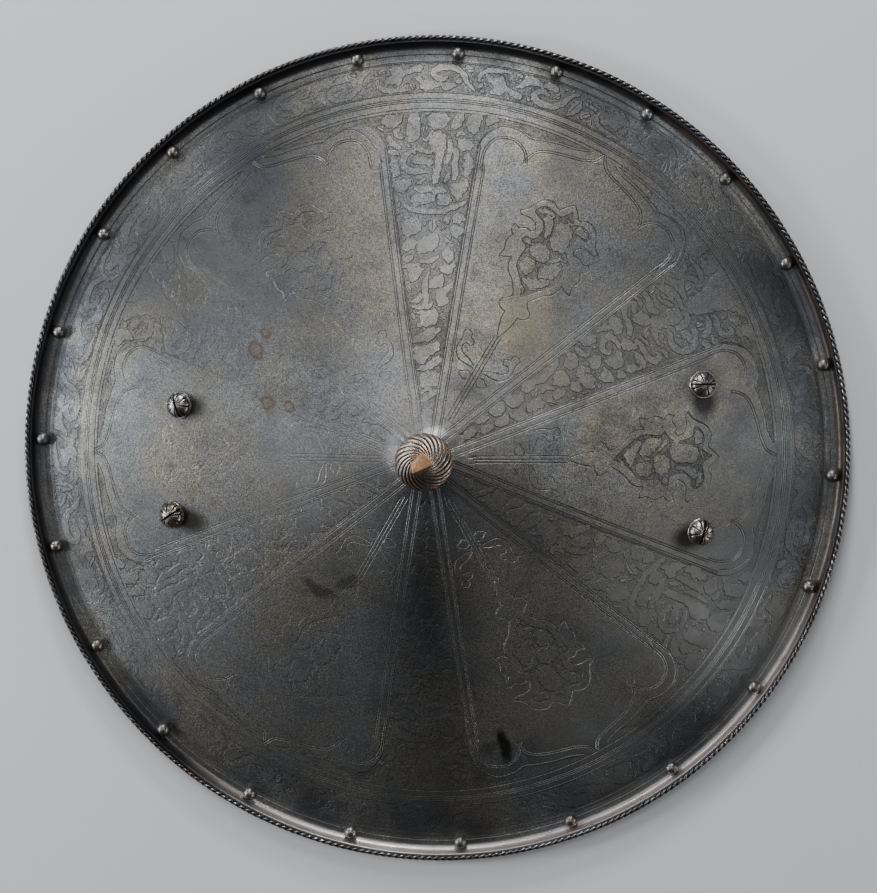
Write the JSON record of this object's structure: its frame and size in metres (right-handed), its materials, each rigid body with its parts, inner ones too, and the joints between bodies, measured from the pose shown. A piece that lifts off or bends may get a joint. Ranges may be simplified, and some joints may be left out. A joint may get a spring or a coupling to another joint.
{
  "type": "round shield",
  "caption": "Round steel shield, gently domed to a fluted boss spike, with engraved foliage, a turned-up roped rim, rim rivets and strap bolts.",
  "frame": {"origin": "under the shield's centre, on the surface that it lies on with its hollow back down", "axes": "+Z out of the front along the spike, +Y to the upper edge, +X to the right seen from the front"},
  "size_m": [0.58, 0.58, 0.1624],
  "materials": {
    "plate_steel": "aged dark steel, satin, engraved",
    "spike_steel": "aged brown steel, satin",
    "fitting_steel": "worn steel, half bright"
  },
  "bodies": {
    "root": {"shield_plate": "plate_steel", "boss_spike": "spike_steel", "strap_bolt_upper_left": "fitting_steel", "strap_bolt_lower_left": "fitting_steel", "strap_bolt_upper_right": "fitting_steel", "strap_bolt_lower_right": "fitting_steel", "rim_rivet_01": "fitting_steel", "rim_rivet_02": "fitting_steel", "rim_rivet_03": "fitting_steel", "rim_rivet_04": "fitting_steel", "rim_rivet_05": "fitting_steel", "rim_rivet_06": "fitting_steel", "rim_rivet_07": "fitting_steel", "rim_rivet_08": "fitting_steel", "rim_rivet_09": "fitting_steel", "rim_rivet_10": "fitting_steel", "rim_rivet_11": "fitting_steel", "rim_rivet_12": "fitting_steel", "rim_rivet_13": "fitting_steel", "rim_rivet_14": "fitting_steel", "rim_rivet_15": "fitting_steel", "rim_rivet_16": "fitting_steel", "rim_rivet_17": "fitting_steel", "rim_rivet_18": "fitting_steel", "rim_rivet_19": "fitting_steel", "rim_rivet_20": "fitting_steel", "rim_rivet_21": "fitting_steel", "rim_rivet_22": "fitting_steel", "rim_rivet_23": "fitting_steel"}
  },
  "joints": []
}
